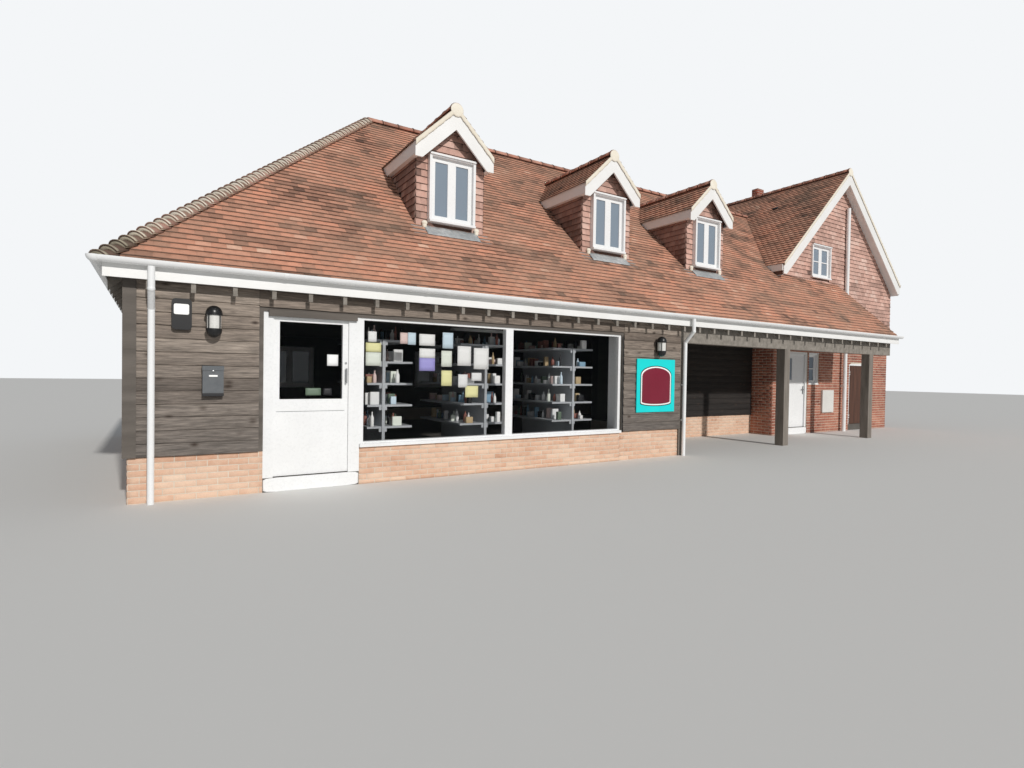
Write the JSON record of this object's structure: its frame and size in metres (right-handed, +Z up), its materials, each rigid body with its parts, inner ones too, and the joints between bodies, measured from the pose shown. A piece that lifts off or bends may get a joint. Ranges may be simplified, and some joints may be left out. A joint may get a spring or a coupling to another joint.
{
  "type": "corner shop building",
  "caption": "Low boarded shop range under a hipped tile roof with dormers, a posted porch bay and a gabled brick wing; the outer doors swing.",
  "frame": {"origin": "front left corner of the shop's walls at the lowest ground", "axes": "+X along the shop front towards the house wing, +Y from the front to the rear, +Z up"},
  "size_m": [20.8328, 8.6558, 7.96],
  "materials": {
    "red_brick": "rough fired brick with pale mortar",
    "dark_boards": "weathered dark stained boards",
    "hung_tiles": "matt red clay tiles",
    "roof_tiles": "matt mottled clay tiles",
    "ridge_clay": "matt red clay",
    "white_paint": "white gloss paint",
    "white_plastic": "white moulded plastic",
    "clear_glass": "clear float glass",
    "grey_timber": "weathered grey timber",
    "dark_timber": "dark stained timber",
    "lead": "dull grey sheet lead",
    "concrete": "plain floor screed",
    "floor_lining": "plain boards and lining",
    "brown_boards": "brown stained boards",
    "satin_steel": "satin metal",
    "black_metal": "black paint",
    "grey_metal": "dark grey powder coat",
    "shelf_metal": "pale grey powder coat",
    "sign_face": "printed board",
    "meter_plastic": "pale moulded plastic"
  },
  "bodies": {
    "building": {"shop_plinth": "red_brick", "shop_front_boards": "dark_boards", "shop_front_header": "dark_boards", "shop_side_boards": "dark_boards", "shop_rear_boards": "dark_boards", "corner_boards": "dark_timber", "porch_back_boards": "dark_boards", "house_front_wall": "red_brick", "house_front_upper": "red_brick", "house_side_walls": "red_brick", "house_rear_wall": "red_brick", "tile_hanging": "hung_tiles", "ground_floor": "concrete", "upper_floor": "floor_lining", "roof_front": "roof_tiles", "roof_rear": "roof_tiles", "roof_hip": "roof_tiles", "wing_roof_left": "roof_tiles", "wing_roof_right": "roof_tiles", "ridge_tiles": "ridge_clay", "hip_tiles": "ridge_clay", "fascias": "white_paint", "rafter_feet": "dark_timber", "gutters": "white_plastic", "downpipes": "white_plastic", "dormer_one": "hung_tiles", "dormer_two": "hung_tiles", "dormer_three": "hung_tiles", "dormer_roofs": "roof_tiles", "dormer_bargeboards": "white_paint", "dormer_aprons": "lead", "wing_bargeboards": "white_paint", "window_frames": "white_plastic", "window_glass": "clear_glass", "soil_pipe": "white_plastic", "chimney": "red_brick", "porch_posts": "grey_timber", "porch_beam": "grey_timber", "shopfront_surround": "dark_timber", "shop_door_frame": "white_plastic", "shop_window_frame": "white_plastic", "shop_window_glass": "clear_glass", "house_door_frames": "white_plastic", "meter_box": "meter_plastic", "lanterns": "black_metal", "lantern_glass": "clear_glass", "alarm_box": "black_metal", "post_box": "grey_metal", "sign_board": "sign_face", "shop_shelving": "shelf_metal"},
    "shop_door": {"shop_door": "white_plastic", "shop_door_glass": "clear_glass", "shop_door_handle": "satin_steel"},
    "house_door": {"house_door": "white_plastic", "house_door_glass": "clear_glass", "house_door_handle": "grey_metal"},
    "store_door": {"store_door": "brown_boards"}
  },
  "joints": [
    {"name": "shop_door_hinge", "type": "hinge", "parent": "building", "child": "shop_door", "pos_m": [1.5185, 0.115, 1.2], "axis": [0, 0, 1], "range_deg": [0, 90]},
    {"name": "house_door_hinge", "type": "hinge", "parent": "building", "child": "house_door", "pos_m": [14.9375, 1.63, 1.2], "axis": [0, 0, 1], "range_deg": [0, 90]},
    {"name": "store_door_hinge", "type": "hinge", "parent": "building", "child": "store_door", "pos_m": [18.0575, 1.5, 1.1], "axis": [0, 0, -1], "range_deg": [0, 90]}
  ]
}
